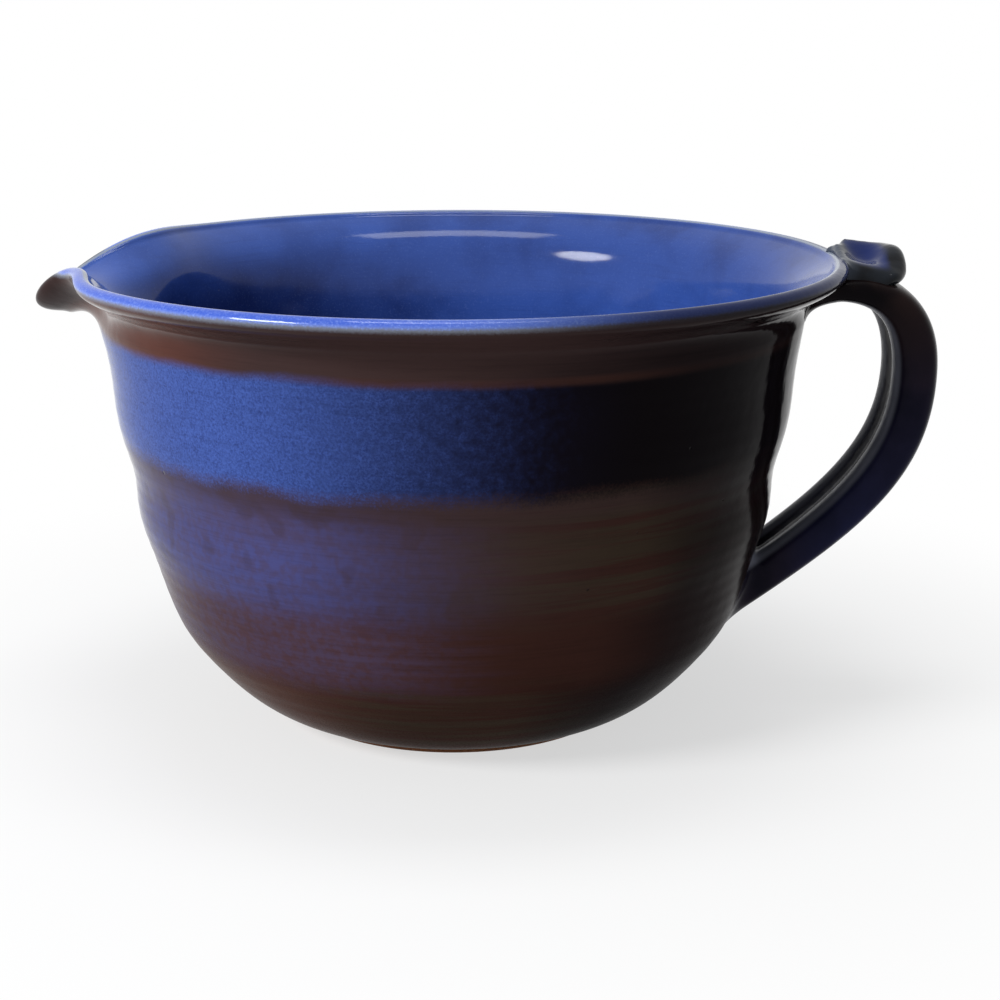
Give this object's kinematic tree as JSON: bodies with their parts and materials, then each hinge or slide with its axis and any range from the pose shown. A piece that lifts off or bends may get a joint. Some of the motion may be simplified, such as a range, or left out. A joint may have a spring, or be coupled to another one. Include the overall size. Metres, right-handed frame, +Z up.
{
  "type": "batter bowl",
  "caption": "Thrown stoneware batter bowl with a wide flared rim, a pulled pouring spout, a bare clay foot ring and a pulled strap handle with a dished thumb rest.",
  "frame": {"origin": "centre of the foot ring's resting face", "axes": "+Z up out of the bowl, +X towards the handle, the spout is close to -X and 4.5 degrees off the line of the handle"},
  "size_m": [0.2438, 0.2098, 0.1279],
  "materials": {
    "glazed_body": "glossy cobalt, indigo and brown mottled glaze",
    "bare_clay": "matt bare stoneware",
    "handle_glaze": "glossy brown black glaze",
    "rest_glaze": "glossy pooled blue glaze"
  },
  "bodies": {
    "root": {"bowl_body": "glazed_body", "foot_ring": "bare_clay", "handle": "handle_glaze", "thumb_rest": "rest_glaze", "upper_joint": "handle_glaze", "lower_joint": "handle_glaze"}
  },
  "joints": []
}
